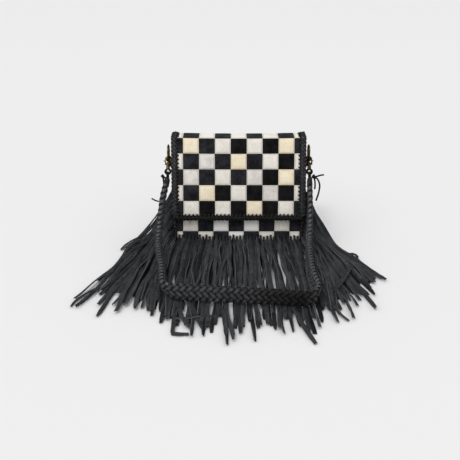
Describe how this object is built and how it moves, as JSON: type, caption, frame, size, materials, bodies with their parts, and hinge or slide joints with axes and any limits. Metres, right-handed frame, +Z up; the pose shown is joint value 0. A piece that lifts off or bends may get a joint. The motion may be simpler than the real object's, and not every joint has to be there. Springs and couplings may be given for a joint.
{
  "type": "fringed suede shoulder bag",
  "caption": "Small suede shoulder bag with a patchwork flap, braided edges, a long fringe laced round its base and a plaited strap on snap hooks.",
  "frame": {"origin": "centre of the base, on the surface that the bag stands on", "axes": "+Z up, -Y towards the front of the flap, +X to the right seen from the front"},
  "size_m": [0.4335, 0.3525, 0.168],
  "materials": {
    "suede_black": "matt suede",
    "suede_patchwork": "matt suede patches, black and off-white",
    "suede_fringe": "matt suede, charcoal",
    "leather_braid": "plaited suede lace, black",
    "strap_suede": "plaited suede, charcoal",
    "lining_cloth": "woven cotton",
    "brass": "worn brass",
    "steel": "satin"
  },
  "bodies": {
    "bag": {"front_panel": "suede_patchwork", "back_panel": "suede_black", "gusset": "suede_black", "lining": "lining_cloth", "seam_braid_front_left": "leather_braid", "seam_braid_front_right": "leather_braid", "seam_braid_back_left": "leather_braid", "seam_braid_back_right": "leather_braid", "snap_socket": "steel", "ring_tab_left": "leather_braid", "ring_tab_right": "leather_braid", "fringe_left_1": "suede_fringe", "fringe_left_2": "suede_fringe", "fringe_left_3": "suede_fringe", "fringe_left_4": "suede_fringe", "fringe_front_1": "suede_fringe", "fringe_front_2": "suede_fringe", "fringe_front_3": "suede_fringe", "fringe_front_4": "suede_fringe", "fringe_front_5": "suede_fringe", "fringe_front_6": "suede_fringe", "fringe_front_7": "suede_fringe", "fringe_front_8": "suede_fringe", "fringe_right_1": "suede_fringe", "fringe_right_2": "suede_fringe", "fringe_right_3": "suede_fringe", "fringe_right_4": "suede_fringe"},
    "flap": {"flap_panel": "suede_patchwork", "flap_edging": "leather_braid", "snap_stud": "steel"},
    "ring_left": {"ring_left": "brass"},
    "ring_right": {"ring_right": "brass"},
    "strap": {"strap": "strap_suede", "strap_tie_left": "leather_braid", "strap_tie_right": "leather_braid", "swivel_eye_left": "brass", "swivel_eye_right": "brass"},
    "hook_left": {"snap_hook_left": "brass"},
    "hook_right": {"snap_hook_right": "brass"},
    "gate_left": {"hook_gate_left": "brass"},
    "gate_right": {"hook_gate_right": "brass"}
  },
  "joints": [
    {"name": "flap_lift", "type": "hinge", "parent": "bag", "child": "flap", "pos_m": [0, 0.0328, 0.163], "axis": [-1, 0, 0], "range_deg": [0, 150]},
    {"name": "ring_left_turn", "type": "hinge", "parent": "bag", "child": "ring_left", "pos_m": [-0.1122, 0.018, 0.137], "axis": [1, 0, 0], "continuous": true},
    {"name": "ring_right_turn", "type": "hinge", "parent": "bag", "child": "ring_right", "pos_m": [0.1122, 0.018, 0.137], "axis": [1, 0, 0], "continuous": true},
    {"name": "strap_swing", "type": "hinge", "parent": "bag", "child": "strap", "pos_m": [0, 0.018, 0.137], "axis": [-1, 0, 0], "range_deg": [0, 118]},
    {"name": "hook_left_swivel", "type": "hinge", "parent": "strap", "child": "hook_left", "pos_m": [-0.1122, 0.01093, 0.12857], "axis": [0, -0.6428, -0.766], "range_deg": [-20, 20]},
    {"name": "hook_right_swivel", "type": "hinge", "parent": "strap", "child": "hook_right", "pos_m": [0.1122, 0.01093, 0.12857], "axis": [0, -0.6428, -0.766], "range_deg": [-20, 20]},
    {"name": "gate_left_open", "type": "hinge", "parent": "hook_left", "child": "gate_left", "pos_m": [-0.11645, 0.00624, 0.12298], "axis": [0, 0.766, -0.6428], "range_deg": [0, 28], "stiffness_Nm_per_rad": 0.002, "springref_deg": -11.46},
    {"name": "gate_right_open", "type": "hinge", "parent": "hook_right", "child": "gate_right", "pos_m": [0.11645, 0.00624, 0.12298], "axis": [0, -0.766, 0.6428], "range_deg": [0, 28], "stiffness_Nm_per_rad": 0.002, "springref_deg": -11.46}
  ]
}
